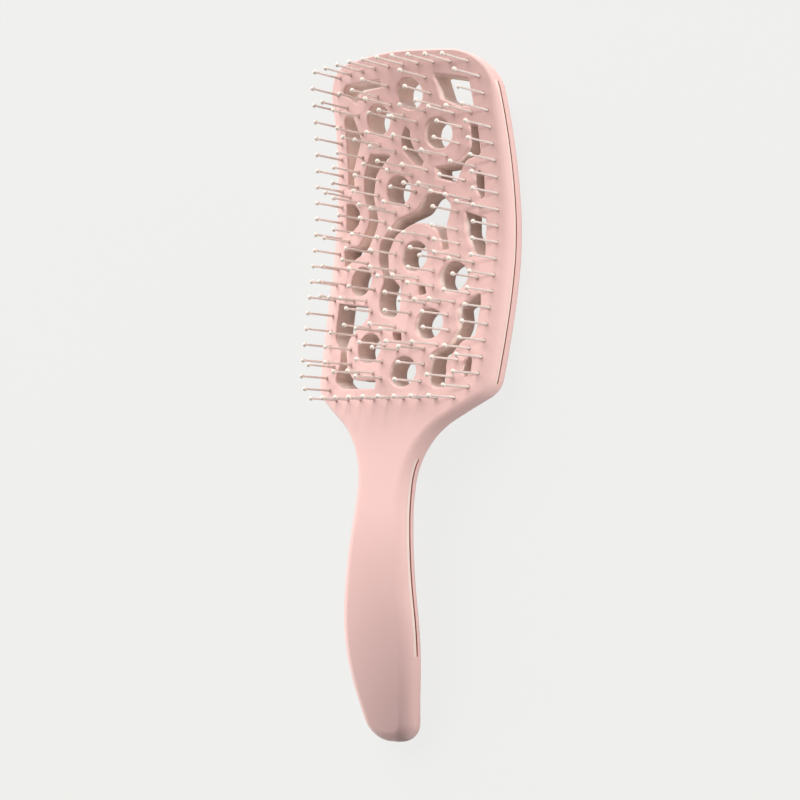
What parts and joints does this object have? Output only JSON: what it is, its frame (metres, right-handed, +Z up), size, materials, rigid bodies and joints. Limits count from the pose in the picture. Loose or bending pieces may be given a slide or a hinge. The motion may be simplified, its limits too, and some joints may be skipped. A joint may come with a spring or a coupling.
{
  "type": "vent brush",
  "caption": "Vented paddle hairbrush with a saddle-shaped head, air vents of mixed shapes, ball-tipped pins and a slim arched handle, lying on its back with the pins up.",
  "frame": {"origin": "on the ground, under the middle of the brush's bounding box, with the brush lying on its back as it rests", "axes": "+Y along the brush from the handle's tail to the top of the head, +X across the head to the right as seen from the pins' side, +Z up, the way the pins point (they lean 5.0 degrees from it towards the tail)"},
  "size_m": [0.0808, 0.2436, 0.0446],
  "materials": {
    "body": "soft-touch matt pink",
    "pins": "satin cream nylon"
  },
  "bodies": {
    "root": {"brush_body": "body", "pin_row_01": "pins", "pin_row_02": "pins", "pin_row_03": "pins", "pin_row_04": "pins", "pin_row_05": "pins", "pin_row_06": "pins", "pin_row_07": "pins", "pin_row_08": "pins", "pin_row_09": "pins", "pin_row_10": "pins", "pin_row_11": "pins", "pin_row_12": "pins", "pin_row_13": "pins", "pin_row_14": "pins", "pin_row_15": "pins", "pin_row_16": "pins", "pin_row_17": "pins", "pin_row_18": "pins", "pin_row_19": "pins", "pin_row_20": "pins", "pin_row_21": "pins", "pin_row_22": "pins"}
  },
  "joints": []
}
